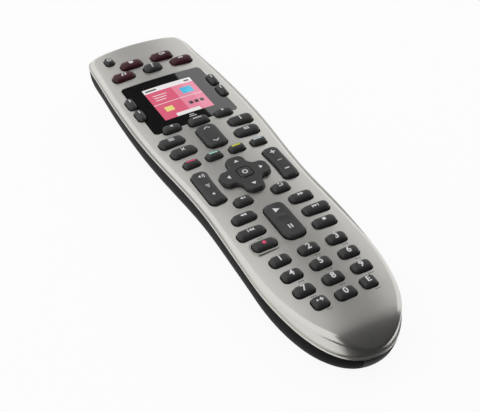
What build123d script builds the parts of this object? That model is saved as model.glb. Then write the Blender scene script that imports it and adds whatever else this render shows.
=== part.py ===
from build123d import *
import math
import os

os.makedirs("parts", exist_ok=True)

# A universal remote control, lying face up on its flat underside.
# X runs across it, Y runs towards the screen end and Z is up.
# The origin is the middle of its footprint, on the resting face. Millimetres and degrees.

# Whole case
case_length = 228.6
case_width = 60.8
face_height = 24.0          # resting face to the flat middle of the key face
rim_height = 21.0           # where the two shells part, along the sides
wall = 1.5
overrun = 3.0               # how far every cut runs past what it cuts
gap = 0.3                   # running gap between pieces that move apart

# Face, seen from the side: flat in the middle, rising to the screen, falling to the tail
rise_start_y = 59.0
rise_radius = 1366.0
arch_start_y = 10.4
arch_radius = 3543.0
nose_radius = 14.0          # where the face turns down into the tail
nose_reach = 1.5            # how far that turn runs past the tail
nose_steps = 6
face_steps = 12
crown_radius = 322.0        # the slight dome across the face
face_roll = 2.6             # round along the upper edge of the silver shell

# Parting line, seen from the side
rim_fall_start_y = -24.0
rim_fall_radius = 388.0
lip_height = 0.9
lip_proud = 0.6
shell_proud = 0.45          # the black shell stands this far outside the silver one

# Lower shell, drawn in level by level from the parting line to the resting face
side_tuck = 19.0            # how far the sides draw in, down to the resting face
tail_tuck = 8.0
tuck_change_y = -70.0       # the tuck changes round here
tuck_change_length = 9.0
tuck_depth_power = 2.3
tuck_round_power = 2.1
tuck_level_margin = 0.4     # the tuck would end this far below the resting face
tuck_level_shares = (0.0, 0.16, 0.28, 0.40, 0.52, 0.64, 0.74, 0.82, 0.888, 0.94, 0.976, 1.0)

# Plan outline of the silver shell, right half, from the screen end to the tail.
# Shares of half its width and of half its length.
outline_shares = [
    (0.0, 1.0), (0.296, 0.9974), (0.543, 0.9912), (0.724, 0.9816), (0.829, 0.9659),
    (0.8816, 0.9414), (0.9046, 0.9011), (0.9260, 0.8075), (0.9605, 0.6912),
    (0.9934, 0.5162), (1.0, 0.3412), (0.9704, 0.1662), (0.9178, -0.0087),
    (0.8931, -0.1837), (0.9112, -0.3587), (0.9211, -0.5337), (0.9145, -0.6212),
    (0.8717, -0.7087), (0.7928, -0.7962), (0.6579, -0.8836), (0.5461, -0.9274),
    (0.4145, -0.9624), (0.2434, -0.9886), (0.0, -1.0),
]

# Screen window, let into the face
window_width = 45.4
window_length = 41.4
window_y = 58.6
window_corner = 2.0
window_taper = 0.5          # each side is this much further in at the top
window_thickness = 1.0
window_gap = 0.15
window_seat = 1.1           # depth of its recess
tray_depth = 2.4            # the face is this thick round the recess
tray_margin = 1.5
display_side = 27.2
display_y = 59.1
display_margin = 0.8

# Display module
module_width = 33.0
module_length = 36.0
module_height = 3.2
glass_inset = 1.2
glass_height = 0.6
glass_gap = 0.1

# Keys, all of them
cap_rise = 2.0              # cap above the face
cap_round = 0.8
hole_gap = 0.35             # cap to the edge of its hole
flange_width = 0.65
flange_height = 0.7
stem_inset = 1.2
key_travel = 0.8
stem_reserve = 0.3          # left under a stem that is fully pressed

# Key caps: width, length, corner
digit_width = 9.3
digit_length = 5.4
digit_corner = 2.1
digit_columns = 3
digit_rows = 3
corner_key_width = 7.0
corner_key_length = 6.0
corner_key_corner = 1.9
activity_width = 12.0
activity_length = 5.7
activity_corner = 2.4
help_width = 10.1
help_length = 6.0
help_corner = 2.8
power_width = 4.8
power_length = 5.8
power_corner = 1.6
side_key_width = 4.6
side_key_length = 8.5
side_key_corner = 2.1
arrow_width = 9.6
arrow_length = 4.9
arrow_corner = 2.0
middle_width = 10.8
middle_length = 5.7
middle_corner = 1.5
middle_shoulder_share = 0.62
menu_width = 13.0
menu_length = 6.0
menu_corner = 2.5
colour_width = 8.2
colour_length = 4.7
colour_corner = 1.7
transport_width = 11.4
transport_length = 5.4
transport_corner = 2.2
skip_width = 13.2
skip_length = 5.4
skip_corner = 2.2
mute_width = 8.8
mute_length = 5.4
mute_corner = 2.1

# Rockers
page_width = 10.8
page_length = 16.8
page_corner = 3.2
play_width = 10.8
play_length = 23.2
play_corner = 4.0
volume_width = 8.5
volume_length = 22.6
volume_corner = 2.8
volume_waist = 0.8
rocker_rib = 2.0
rocker_flange_drop = 0.8    # rocker flanges sit this much lower, so that they can tilt

# Direction pad
pad_span = 24.4
pad_arm = 9.4
pad_arm_corner = 3.4
pad_crotch = 3.4
centre_key_side = 6.6
centre_key_corner = 1.9
pivot_outer_radius = 7.0
pivot_wall = 1.4
pivot_height = 0.8
pivot_pin_radius = 0.35
pivot_pin_reach = 1.6
pivot_drop = 0.45           # ring below the pad
centre_flange_drop = 0.4
centre_flange_height = 0.5
centre_key_proud = 0.3

# Places on the face, as shares of half the width and half the length of the silver shell
power_place_shares = (-0.5805, 0.9020)
activity_inner_place_shares = (0.2811, 0.8341)
activity_outer_place_shares = (0.5384, 0.7682)
help_place_shares = (0.0, 0.7699)
menu_place_shares = (0.6120, 0.2507)
exit_place_shares = (0.5592, 0.1706)
page_place_shares = (0.0, 0.2060)
colour_outer_place_shares = (0.5832, 0.0862)
colour_inner_place_shares = (0.1990, 0.0854)
pad_place_shares = (0.0, -0.0731)
volume_place_shares = (0.6150, -0.0740)
mute_place_shares = (0.3155, -0.2073)
rewind_place_shares = (0.4772, -0.2893)
skip_place_shares = (0.5388, -0.3710)
record_place_shares = (0.4955, -0.4495)
play_place_shares = (0.0, -0.3737)
digit_top_place_shares = (0.4610, -0.5441)
digit_pitch_share = 0.0813
corner_key_place_shares = (0.3865, -0.7806)

# Places beside the window, as shares of half its own width and length
side_key_place_shares = ((1.0044, 0.3150), (0.9956, -0.1910))
arrow_place_shares = (0.6205, -1.0160)
middle_place_shares = (0.0, -1.0370)

# Raised ring round the record key
ring_width = 0.9
ring_height = 0.5

# Stack under the keys
cover_height = 1.4
cell_diameter = 14.5
cell_length = 50.5
cell_spacing = 14.9
cell_tip_diameter = 5.5
cell_tip_length = 1.0
cell_middle_y = -34.0
board_height = 1.0
board_inset = 4.2
board_tail_y = -96.5
board_gap = 0.2
mat_height = 0.8
mat_inset = 4.7
dome_height = 0.25
dome_inset = 1.3

# Battery bay and cover
cover_front_y = -2.0
bay_wall = 1.2
bay_gap = 0.3
cover_travel = 45.0
rail_width = 1.2
rail_offset = 17.0
rail_length = 24.0
rail_front_y = -6.0
hook_reach = 0.8            # hook past the rail, over the floor of the lower shell
hook_height = 0.7
tub_wall = 0.8
tub_top = 15.6
grip_count = 6
grip_pitch = 2.2
grip_groove = 1.1
grip_width = 12.0
grip_depth = 0.4
grip_start_y = -14.0

# Contacts
contact_thickness = 0.4
contact_width = 8.0
contact_height = 9.0
contact_room = 2.2          # bay beyond each end of the cells
contact_slack = 0.05

# Screws
screw_radius = 1.1
screw_head_radius = 2.1
screw_head_height = 1.4
screw_slack = 0.2
lower_post_radius = 3.2
screw_length = 8.0
screw_seat = 1.6            # lower shell under each screw head
screw_seat_z = 9.6
post_radius = 2.3
screw_place_shares = ((0.740, 0.8574), (0.602, -0.8268))

# Port in the tail end and its rubber cover
port_width = 7.8
port_height = 4.0
port_length = 8.0
port_wall = 0.4
port_middle_z = 6.4
port_seat_width = 16.0
port_board_length = 14.0
port_set_back = 7.5         # port board behind the tail end
port_overhang = 3.0         # port past the end of its board
port_cut_depth = 6.0        # how far in from the tail end its opening is cut
port_seat_z = 3.6
flap_width = 12.0
flap_height = 6.4
flap_thickness = 1.2

# Infrared window in the screen end
infrared_width = 30.0
infrared_height = 8.0
infrared_middle_z = 14.5
infrared_thickness = 1.2
infrared_gap = 0.1
leg_width = 3.0
leg_reach = 0.8
emitter_radius = 1.8
emitter_length = 7.0
emitter_set_back = 1.5      # emitters behind the window
emitter_pitch = 8.0

# Chips on the board
processor_side = 10.0
memory_width = 8.0
memory_length = 12.0
chip_height = 1.2
processor_y = 40.0
memory_x = 14.0

sewing_reach = 0.001
bottom_align = (Align.CENTER, Align.CENTER, Align.MIN)

# Worked out from the sizes above
post_meet_z = screw_seat_z + screw_seat
half_width = case_width / 2
half_length = case_length / 2
board_bottom = cover_height + gap + cell_diameter + board_gap
board_top = board_bottom + board_height
mat_top = board_top + mat_height
cell_middle_z = cover_height + gap + cell_diameter / 2
bottom_floor = cover_height + gap
hook_bottom = bottom_floor + bay_wall + gap
hook_top = hook_bottom + hook_height
bay_half_width = cell_spacing / 2 + cell_diameter / 2 + bay_gap
bay_half_length = cell_length / 2 + contact_room
port_front_y = -half_length + port_set_back + port_board_length
port_back_y = -half_length + port_set_back


def on_face(shares):
    """Turn shares of the silver shell into a place."""
    return shares[0] * half_width, shares[1] * half_length


def on_window(shares):
    """Turn shares of the window into a place."""
    return shares[0] * window_width / 2, window_y + shares[1] * window_length / 2


def face_z(x, y):
    """Height of the face at a place between the screen end and the nose."""
    height = face_height
    if y > rise_start_y:
        height += (y - rise_start_y) ** 2 / (2 * rise_radius)
    if y < arch_start_y:
        height -= (arch_start_y - y) ** 2 / (2 * arch_radius)
    return height - x ** 2 / (2 * crown_radius)


def rim_z(y):
    """Height of the parting line at a place along the case."""
    return rim_height - max(rim_fall_start_y - y, 0) ** 2 / (2 * rim_fall_radius)


def half_face(right, height):
    """Flat face at one height, between the right half of an outline and the middle line."""
    curve = Spline(*right, tangents=[(1, 0), (-1, 0)], tangent_scalars=[1, 1])
    return Pos(0, 0, height) * Face(Wire([curve.edge(), Line(right[-1], right[0]).edge()]))


def moved_outline(inset):
    """Right half of the plan outline, moved in square to itself."""
    points = [(x * half_width, y * half_length) for x, y in outline_shares]
    before = [(-points[1][0], points[1][1])] + points[:-1]
    after = points[1:] + [(-points[-2][0], points[-2][1])]
    moved = []
    for point, last, following in zip(points, before, after):
        run_x = following[0] - last[0]
        run_y = following[1] - last[1]
        run = math.hypot(run_x, run_y)
        moved.append((point[0] + run_y / run * inset, point[1] - run_x / run * inset))
    moved[0] = (0, moved[0][1])
    moved[-1] = (0, moved[-1][1])
    return moved


def half_prism(right, bottom, top):
    """The right half of an outline, drawn up from bottom to top."""
    return extrude(half_face(right, bottom), top - bottom, dir=(0, 0, 1))


def inner_outline(inset):
    """Right half of the plan outline, shrunk towards the middle by inset."""
    across = 1 - inset / half_width
    along = 1 - inset / half_length
    return [(x * half_width * across, y * half_length * along) for x, y in outline_shares]


def skin_path(depth):
    """Line along the middle of the face, this deep under it, from the tail up and over."""
    nose_y = nose_radius - half_length - nose_reach
    nose_z = face_z(0, nose_y) - nose_radius
    places = [(nose_y - nose_radius, nose_z - face_height / 2)]
    for step in range(nose_steps):
        turn = math.pi / 2 * step / nose_steps
        places.append((nose_y - nose_radius * math.cos(turn), nose_z + nose_radius * math.sin(turn)))
    for step in range(face_steps + 1):
        y = nose_y + (half_length + overrun - nose_y) * step / face_steps
        places.append((y, face_z(0, y)))
    lowered = []
    for place, last, following in zip(places, places[:1] + places[:-1], places[1:] + places[-1:]):
        run_y = following[0] - last[0]
        run_z = following[1] - last[1]
        run = math.hypot(run_y, run_z)
        lowered.append((place[0] + run_z / run * depth, place[1] - run_y / run * depth))
    return Plane.YZ * Spline(*lowered)


def above_skin(depth):
    """Everything above the surface that lies this deep under the face."""
    path = skin_path(depth)
    reach = half_width + overrun
    drop = reach ** 2 / (2 * crown_radius)
    crown = ThreePointArc((-reach, drop), (0, 0), (reach, drop))
    rest = Polyline((reach, drop), (reach, -face_height), (-reach, -face_height), (-reach, drop))
    section = Plane(origin=path @ 0, x_dir=(1, 0, 0), z_dir=path % 0) * make_face(crown + rest)
    return sweep(section, path=path)


def side_prism(points_and_arcs):
    """A shape drawn in the side view, run right across the case."""
    return extrude(Plane.YZ * make_face(points_and_arcs), half_width + overrun, both=True)


def below_parting(rise):
    """Everything below the parting line, moved up by rise."""
    level = rim_height + rise
    tail = -half_length - overrun
    front = half_length + overrun
    turn = math.degrees(math.asin((rim_fall_start_y - tail) / rim_fall_radius))
    straight = Line((front, level), (rim_fall_start_y, level))
    fall = JernArc(straight @ 1, (-1, 0), rim_fall_radius, turn)
    rest = Polyline(fall @ 1, ((fall @ 1).X, -overrun), (front, -overrun), (front, level))
    return side_prism(straight + fall + rest)


def both_halves(right):
    """One solid sewn from the faces of the right half and their mirror images."""
    outside = [face for face in right.faces() if face.bounding_box().max.X > sewing_reach]
    mirrored = [mirror(face, about=Plane.YZ).faces()[0] for face in outside]
    return Solid(Shell(max(Face.sew_faces(outside + mirrored), key=len)))


def half_silver_shell(inside):
    """Right half of the silver shell, rolled above and lipped below, solid where inside stands."""
    block = half_prism(moved_outline(0), 0, face_height + overrun) - above_skin(0)
    edge = [edge for edge in block.edges() if edge.bounding_box().min.Z > overrun
            and edge.bounding_box().size.Y > half_length and edge.bounding_box().max.X > half_width / 2]
    block = fillet(edge, face_roll) - below_parting(0)
    lip = half_prism(moved_outline(-lip_proud), 0, face_height)
    lip = (lip & below_parting(lip_height)) - below_parting(0)
    hollow = half_prism(moved_outline(wall), 0, face_height + overrun) - above_skin(wall)
    return block + lip - (hollow - inside)


def tucked_outline(height, floor, inset):
    """Right half of the lower shell's outline at one height."""
    right = []
    for x, y in moved_outline(inset):
        depth_share = min(max((rim_z(y) - height) / (rim_z(y) - floor), 0), 1)
        tuck_share = 1 - (1 - depth_share ** tuck_depth_power) ** (1 / tuck_round_power)
        towards_tail = 1 / (1 + math.exp((y - tuck_change_y) / tuck_change_length))
        tuck = side_tuck + (tail_tuck - side_tuck) * towards_tail
        right.append((x * (1 - tuck * tuck_share / half_width), y * (1 - tail_tuck * tuck_share / half_length)))
    return right


def half_lower_block(inset, floor):
    """Right half of the rounded lower body, up past the parting line."""
    levels = [floor + (rim_height - floor) * (1 - share) for share in tuck_level_shares]
    levels = [rim_height + overrun] + levels
    return loft([half_face(tucked_outline(level, floor - tuck_level_margin, inset), level)
                 for level in levels])


def block_between(low, high):
    """A box between two opposite corners."""
    size = [end - start for start, end in zip(low, high)]
    middle = [(start + end) / 2 for start, end in zip(low, high)]
    return Pos(*middle) * Box(*size)


def upright(sketch, place, bottom, top):
    """A sketch drawn up from bottom to top over a place."""
    return Pos(place[0], place[1], bottom) * extrude(sketch, top - bottom)


def pad_outline(width, length, corner):
    """Cap outline with four round corners."""
    return RectangleRounded(width, length, corner)


def middle_outline():
    """Outline of the key under the screen, with its upper edge arched."""
    side = middle_width / 2
    foot = -middle_length / 2
    shoulder = foot + middle_length * middle_shoulder_share
    arch = ThreePointArc((-side, shoulder), (0, middle_length / 2), (side, shoulder))
    feet = Polyline((side, shoulder), (side, foot), (-side, foot), (-side, shoulder))
    outline = make_face(arch + feet)
    return fillet(outline.vertices(), middle_corner)


def waisted_outline(side):
    """Rocker outline whose side towards the direction pad, given by its sign, is hollow."""
    waist_radius = (volume_length / 2) ** 2 / (2 * volume_waist)
    middle = volume_width / 2 - volume_waist + waist_radius
    waist = Pos(side * middle, 0) * Circle(waist_radius)
    return pad_outline(volume_width, volume_length, volume_corner) - waist


def cross_outline():
    """Direction pad outline: four round lobes with soft crotches."""
    cross = pad_outline(pad_span, pad_arm, pad_arm_corner) + pad_outline(pad_arm, pad_span, pad_arm_corner)
    half = pad_arm / 2
    inner = [vertex for vertex in cross.vertices()
             if abs(abs(vertex.X) - half) < sewing_reach and abs(abs(vertex.Y) - half) < sewing_reach]
    return fillet(inner, pad_crotch)


def lowest_face(outline, place):
    """Height of the lowest piece of face over a flange."""
    size = outline.bounding_box().size
    far_x = abs(place[0]) + size.X / 2 + flange_width
    return min(face_z(far_x, place[1] - size.Y / 2 - flange_width),
               face_z(far_x, place[1] + size.Y / 2 + flange_width))


def flange_top(outline, place, ceiling, drop):
    """Height of a flange that hangs under a ceiling of this thickness."""
    return lowest_face(outline, place) - ceiling - gap - drop


def cap_and_flange(outline, place, ceiling, drop):
    """A cap with its round upper edge, and the flange that keeps it in its hole."""
    shelf = flange_top(outline, place, ceiling, drop)
    cap = upright(outline, place, shelf, face_z(*place) + cap_rise)
    cap = fillet(cap.faces().sort_by(Axis.Z)[-1].edges(), cap_round)
    flange = upright(offset(outline, flange_width), place, shelf - flange_height, shelf)
    return cap + flange


def pressed_stop():
    """Lowest place of a stem at rest."""
    return mat_top + dome_height + key_travel + stem_reserve


def push_key(outline, place, ceiling):
    """A key that is pressed straight down."""
    key = cap_and_flange(outline, place, ceiling, 0)
    bottom = flange_top(outline, place, ceiling, 0) - flange_height
    size = outline.bounding_box().size
    stem = Rectangle(size.X - 2 * stem_inset, size.Y - 2 * stem_inset)
    if bottom > pressed_stop():
        key += upright(stem, place, pressed_stop(), bottom)
    return key


def rocker_key(outline, place):
    """A key that tips to either end about a rib under its middle."""
    key = cap_and_flange(outline, place, wall, rocker_flange_drop)
    bottom = flange_top(outline, place, wall, rocker_flange_drop) - flange_height
    size = outline.bounding_box().size
    rib = Rectangle(size.X / 2, rocker_rib)
    return key + upright(rib, place, mat_top + dome_height + gap, bottom)


def hole_for(outline, place):
    """The opening that a cap moves in."""
    return upright(offset(outline, hole_gap), place, mat_top, face_height + case_width)


def mirrored_pair(place):
    """A place and its mirror image: left, then right."""
    return (-place[0], place[1]), place


def key_places():
    """Every pressed key: name, outline, place and thickness of the face round it."""
    keys = []
    add = keys.append
    activity = pad_outline(activity_width, activity_length, activity_corner)
    side = pad_outline(side_key_width, side_key_length, side_key_corner)
    arrow = pad_outline(arrow_width, arrow_length, arrow_corner)
    menu = pad_outline(menu_width, menu_length, menu_corner)
    colour = pad_outline(colour_width, colour_length, colour_corner)
    transport = pad_outline(transport_width, transport_length, transport_corner)
    skip = pad_outline(skip_width, skip_length, skip_corner)
    mute = pad_outline(mute_width, mute_length, mute_corner)
    digit = pad_outline(digit_width, digit_length, digit_corner)
    corner = pad_outline(corner_key_width, corner_key_length, corner_key_corner)

    def pair(names, outline, place, ceiling=wall):
        for name, spot in zip(names, mirrored_pair(place)):
            add((name, outline, spot, ceiling))

    add(("power_key", pad_outline(power_width, power_length, power_corner), on_face(power_place_shares), wall))
    pair(("activity_key_1", "activity_key_2"), activity, on_face(activity_inner_place_shares))
    pair(("activity_key_3", "activity_key_4"), activity, on_face(activity_outer_place_shares))
    add(("help_key", pad_outline(help_width, help_length, help_corner), on_face(help_place_shares), wall))
    pair(("side_key_1", "side_key_2"), side, on_window(side_key_place_shares[0]), tray_depth)
    pair(("side_key_3", "side_key_4"), side, on_window(side_key_place_shares[1]), tray_depth)
    pair(("left_arrow_key", "right_arrow_key"), arrow, on_window(arrow_place_shares), tray_depth)
    add(("middle_key", middle_outline(), on_window(middle_place_shares), tray_depth))
    pair(("menu_key", "info_key"), menu, on_face(menu_place_shares))
    pair(("exit_key", "guide_key"), menu, on_face(exit_place_shares))
    pair(("red_key", "blue_key"), colour, on_face(colour_outer_place_shares))
    pair(("green_key", "yellow_key"), colour, on_face(colour_inner_place_shares))
    pair(("mute_key", "return_key"), mute, on_face(mute_place_shares))
    pair(("rewind_key", "fast_forward_key"), transport, on_face(rewind_place_shares))
    pair(("skip_back_key", "skip_forward_key"), skip, on_face(skip_place_shares))
    pair(("record_key", "stop_key"), transport, on_face(record_place_shares))
    for row in range(digit_rows):
        right = on_face((digit_top_place_shares[0], digit_top_place_shares[1] - row * digit_pitch_share))
        first = digit_columns * row + 1
        pair((f"digit_key_{first}", f"digit_key_{first + digit_columns - 1}"), digit, right)
        add((f"digit_key_{first + 1}", digit, (0, right[1]), wall))
    zero_y = digit_top_place_shares[1] - digit_rows * digit_pitch_share
    add(("digit_key_0", digit, on_face((0, zero_y)), wall))
    pair(("plus_key", "enter_key"), corner, on_face(corner_key_place_shares))
    return keys


def rocker_places():
    """Every rocker: name, outline and place."""
    left, right = mirrored_pair(on_face(volume_place_shares))
    return [
        ("page_rocker", pad_outline(page_width, page_length, page_corner), on_face(page_place_shares)),
        ("volume_rocker", waisted_outline(1), left),
        ("channel_rocker", waisted_outline(-1), right),
        ("play_pause_rocker", pad_outline(play_width, play_length, play_corner), on_face(play_place_shares)),
    ]


def window_outline(margin):
    """Outline of the screen window, grown by margin."""
    top = window_width / 2 - window_taper
    foot = window_width / 2
    end = window_length / 2
    corners = Polyline((-foot, -end), (foot, -end), (top, end), (-top, end), (-foot, -end))
    outline = fillet(make_face(corners).vertices(), window_corner)
    return offset(outline, margin) if margin else outline


def key_holes(on_middle_line):
    """The openings of the key face that are on the middle line, or all the others."""
    caps = [(outline, place) for _, outline, place, _ in key_places()]
    caps += [(outline, place) for _, outline, place in rocker_places()]
    caps.append((cross_outline(), on_face(pad_place_shares)))
    return [hole_for(outline, place) for outline, place in caps if (place[0] == 0) == on_middle_line]


def right_screws():
    """Places of the screws right of the middle."""
    return [on_face(shares) for shares in screw_place_shares]


def screw_places():
    """Places of all four screws."""
    return [place for right in right_screws() for place in mirrored_pair(right)]


def top_housing():
    """Silver shell with the window tray, the screw posts, the record ring and every opening."""
    place = (0, window_y)
    tray = upright(window_outline(tray_margin), place, mat_top, face_height + overrun) & above_skin(tray_depth)
    posts = [Pos(*spot, post_meet_z) * Cylinder(post_radius, face_height - post_meet_z, align=bottom_align)
             for spot in right_screws()]
    shell = both_halves(half_silver_shell([tray] + posts))
    recess = upright(window_outline(window_gap), place, mat_top, face_height + overrun)
    recess &= above_skin(window_seat)
    sight = upright(Rectangle(display_side + 2 * display_margin, display_side + 2 * display_margin),
                    (0, display_y), mat_top, face_height)
    pilots = [Pos(*spot, post_meet_z) * Cylinder(screw_radius, screw_length - screw_seat, align=bottom_align)
              for spot in screw_places()]
    shell -= [recess, sight] + key_holes(on_middle_line=False) + pilots
    for hole in key_holes(on_middle_line=True):
        shell -= hole
    left = mirrored_pair(on_face(record_place_shares))[0]
    record_outline = pad_outline(transport_width, transport_length, transport_corner)
    ring = upright(offset(record_outline, hole_gap + ring_width) - offset(record_outline, hole_gap), left,
                   face_z(*left) - wall / 2, face_z(*left) + ring_height)
    return shell + ring


def half_inside():
    """What stands inside the right half of the lower shell: bay walls, port seat and screw posts."""
    tub = block_between((-overrun, cell_middle_y - bay_half_length - tub_wall, 0),
                        (bay_half_width + tub_wall, cell_middle_y + bay_half_length + tub_wall, tub_top))
    seat = block_between((-overrun, port_back_y, 0), (port_seat_width / 2, port_front_y, port_seat_z))
    posts = [Pos(*spot, 0) * Cylinder(lower_post_radius, post_meet_z, align=bottom_align)
             for spot in right_screws()]
    return [tub, seat] + posts


def bottom_housing():
    """Black lower shell with the battery bay, the screw posts and the two end openings."""
    cavity = half_lower_block(wall, bottom_floor + bay_wall) - half_inside()
    shell = (half_lower_block(-shell_proud, 0) - cavity) & below_parting(0)
    far = half_length + overrun
    cuts = [block_between((-overrun, -far, -overrun), (half_width + overrun, cover_front_y, bottom_floor)),
            block_between((-overrun, cell_middle_y - bay_half_length, 0),
                          (bay_half_width, cell_middle_y + bay_half_length, board_bottom)),
            port_cover_box(gap), infrared_box(infrared_gap)]
    for spot in right_screws():
        cuts.append(Pos(*spot, -overrun) * Cylinder(screw_head_radius + gap, screw_seat_z + overrun,
                                                    align=bottom_align))
        cuts.append(Pos(*spot, 0) * Cylinder(screw_radius + screw_slack, face_height, align=bottom_align))
    half_slot = rail_width / 2 + gap
    slot_back_y = rail_front_y - rail_length - cover_travel - gap
    cuts.append(block_between((rail_offset - half_slot, slot_back_y, 0),
                              (rail_offset + half_slot, rail_front_y + gap, bottom_floor + bay_wall)))
    cuts.append(block_between((rail_offset - half_slot, slot_back_y, bottom_floor + bay_wall),
                              (rail_offset + half_slot + hook_reach, rail_front_y + gap, hook_top + gap)))
    return both_halves(shell - cuts)


def battery_cover():
    """The flat sliding cover that is the rear of the underside, with its rails and grip."""
    far = half_length + overrun
    plate = half_lower_block(-shell_proud, 0) & block_between(
        (-overrun, -far, -overrun), (half_width + overrun, cover_front_y - gap, cover_height))
    rail_inner = rail_offset - rail_width / 2
    rail_outer = rail_offset + rail_width / 2
    rail_back_y = rail_front_y - rail_length
    plate += block_between((rail_inner, rail_back_y, cover_height / 2),
                           (rail_outer, rail_front_y, hook_top))
    plate += block_between((rail_inner, rail_back_y, hook_bottom),
                           (rail_outer + hook_reach, rail_front_y, hook_top))
    for line in range(grip_count):
        y = grip_start_y - line * grip_pitch
        plate -= block_between((-overrun, y, -overrun), (grip_width / 2, y + grip_groove, grip_depth))
    return both_halves(plate)


def infrared_box(margin):
    """Space of the infrared window in the screen end, grown by margin."""
    side = infrared_width / 2 + margin
    half = infrared_height / 2 + margin
    return block_between((-side, half_length - tail_tuck - overrun, infrared_middle_z - half),
                         (side, half_length + overrun, infrared_middle_z + half))


def infrared_window():
    """Dark window let into the screen end of the lower shell."""
    skin = half_lower_block(-shell_proud, 0) & infrared_box(0)
    return both_halves(skin - half_lower_block(infrared_thickness - shell_proud, infrared_thickness))


def port_cover_box(margin):
    """Space of the port cover in the tail end, grown by margin."""
    side = flap_width / 2 + margin
    half = flap_height / 2 + margin
    return block_between((-side, -half_length - overrun, port_middle_z - half),
                         (side, -half_length + port_cut_depth, port_middle_z + half))


def port_cover():
    """Rubber flap over the port, hinged along its lower edge."""
    skin = half_lower_block(-shell_proud, 0) & port_cover_box(0)
    return both_halves(skin - half_lower_block(flap_thickness - shell_proud, flap_thickness))


def screen_window():
    """Glossy window that follows the face, cut away for the keys on its edges."""
    place = (0, window_y)
    plate = upright(window_outline(0), place, mat_top, face_height + overrun)
    plate = (plate & above_skin(window_thickness)) - above_skin(0)
    holes = [hole_for(outline, spot) for _, outline, spot, ceiling in key_places() if ceiling == tray_depth]
    return plate - holes


def display_module():
    """Display tray with the glass panel let into it."""
    place = (0, display_y)
    tray = upright(Rectangle(module_width, module_length), place, board_top, board_top + module_height)
    glass_outline = Rectangle(module_width - 2 * glass_inset, module_length - 2 * glass_inset)
    seat = board_top + module_height - glass_height
    tray -= upright(glass_outline, place, seat, board_top + module_height)
    glass = upright(offset(glass_outline, -glass_gap), place, seat, board_top + module_height)
    return [tray, glass]


def post_holes(bottom, top):
    """Clear holes round the screw posts."""
    return [upright(Circle(post_radius + gap), spot, bottom, top) for spot in screw_places()]


def behind_tail(bottom, top):
    """Everything nearer to the tail than the end of the board."""
    side = half_width + overrun
    return block_between((-side, -half_length - overrun, bottom), (side, board_tail_y, top))


def circuit_board():
    """Main board with its chips and emitters, and the small port board with its port."""
    board = both_halves(half_prism(inner_outline(board_inset), board_bottom, board_top))
    board -= [behind_tail(0, face_height)] + post_holes(board_bottom, board_top)
    under = board_bottom - chip_height
    processor = upright(Rectangle(processor_side, processor_side), (0, processor_y), under, board_bottom)
    memory = upright(Rectangle(memory_width, memory_length), (memory_x, processor_y), under, board_bottom)
    pieces = [board, processor, memory]
    for column in (-1, 0, 1):
        emitter_y = half_length - infrared_thickness - emitter_set_back - emitter_length
        bulb = Pos(column * emitter_pitch, emitter_y, infrared_middle_z) * Rot(-90, 0, 0) * Cylinder(
            emitter_radius, emitter_length, align=bottom_align)
        leg = block_between((column * emitter_pitch - leg_width / 2, emitter_y - leg_reach, infrared_middle_z),
                            (column * emitter_pitch + leg_width / 2, emitter_y, board_bottom))
        pieces.append(bulb + leg)
    daughter = block_between((-port_seat_width / 2, port_back_y, port_seat_z),
                             (port_seat_width / 2, port_front_y, port_seat_z + board_height))
    port_bottom = port_seat_z + board_height
    mouth_y = port_back_y - port_overhang
    can = block_between((-port_width / 2, mouth_y, port_bottom),
                        (port_width / 2, mouth_y + port_length, port_bottom + port_height))
    can -= block_between((-port_width / 2 + port_wall, mouth_y - overrun, port_bottom + port_wall),
                         (port_width / 2 - port_wall, mouth_y + port_length - port_wall,
                          port_bottom + port_height - port_wall))
    return pieces + [daughter, can]


def keypad_mat():
    """Rubber mat with a low dome under every pressed key."""
    mat = both_halves(half_prism(inner_outline(mat_inset), board_top, mat_top))
    module = upright(Rectangle(module_width + 2 * gap, module_length + 2 * gap), (0, display_y),
                     board_top, mat_top)
    mat -= [behind_tail(0, face_height), module] + post_holes(board_top, mat_top)
    domes = []
    for _, outline, place, _ in key_places():
        size = outline.bounding_box().size
        dome = Rectangle(size.X - 2 * dome_inset, size.Y - 2 * dome_inset)
        domes.append(upright(dome, place, board_top, mat_top + dome_height))
    for _, outline, place in rocker_places():
        size = outline.bounding_box().size
        ledge = Rectangle(size.X - 2 * dome_inset, rocker_rib)
        domes.append(upright(ledge, place, board_top, mat_top + dome_height))
    pad_x, pad_y = on_face(pad_place_shares)
    for sign in (-1, 1):
        pin_x = pad_x + sign * (pivot_outer_radius + pivot_pin_reach / 2)
        domes.append(upright(Rectangle(pivot_pin_reach, rocker_rib), (pin_x, pad_y), board_top,
                             pivot_z() - pivot_pin_radius - gap))
    return mat + domes


def pad_floor():
    """Height of the underside of the direction pad."""
    return (flange_top(cross_outline(), on_face(pad_place_shares), wall, rocker_flange_drop)
            - flange_height)


def pivot_z():
    """Height of both tilt axes of the direction pad."""
    return pad_floor() - pivot_drop - pivot_height / 2


def direction_pad():
    """Four-lobed pad with an opening for the centre key."""
    place = on_face(pad_place_shares)
    pad = cap_and_flange(cross_outline(), place, wall, rocker_flange_drop)
    opening = offset(pad_outline(centre_key_side, centre_key_side, centre_key_corner), hole_gap)
    return pad - upright(opening, place, 0, face_height + case_width)


def centre_key():
    """Key in the middle of the direction pad, held under the pad by its flange."""
    place = on_face(pad_place_shares)
    outline = pad_outline(centre_key_side, centre_key_side, centre_key_corner)
    shelf = pad_floor() - centre_flange_drop
    cap = upright(outline, place, shelf, face_z(*place) + cap_rise + centre_key_proud)
    cap = fillet(cap.faces().sort_by(Axis.Z)[-1].edges(), cap_round)
    flange = upright(offset(outline, flange_width), place, shelf - centre_flange_height, shelf)
    return cap + flange


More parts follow.
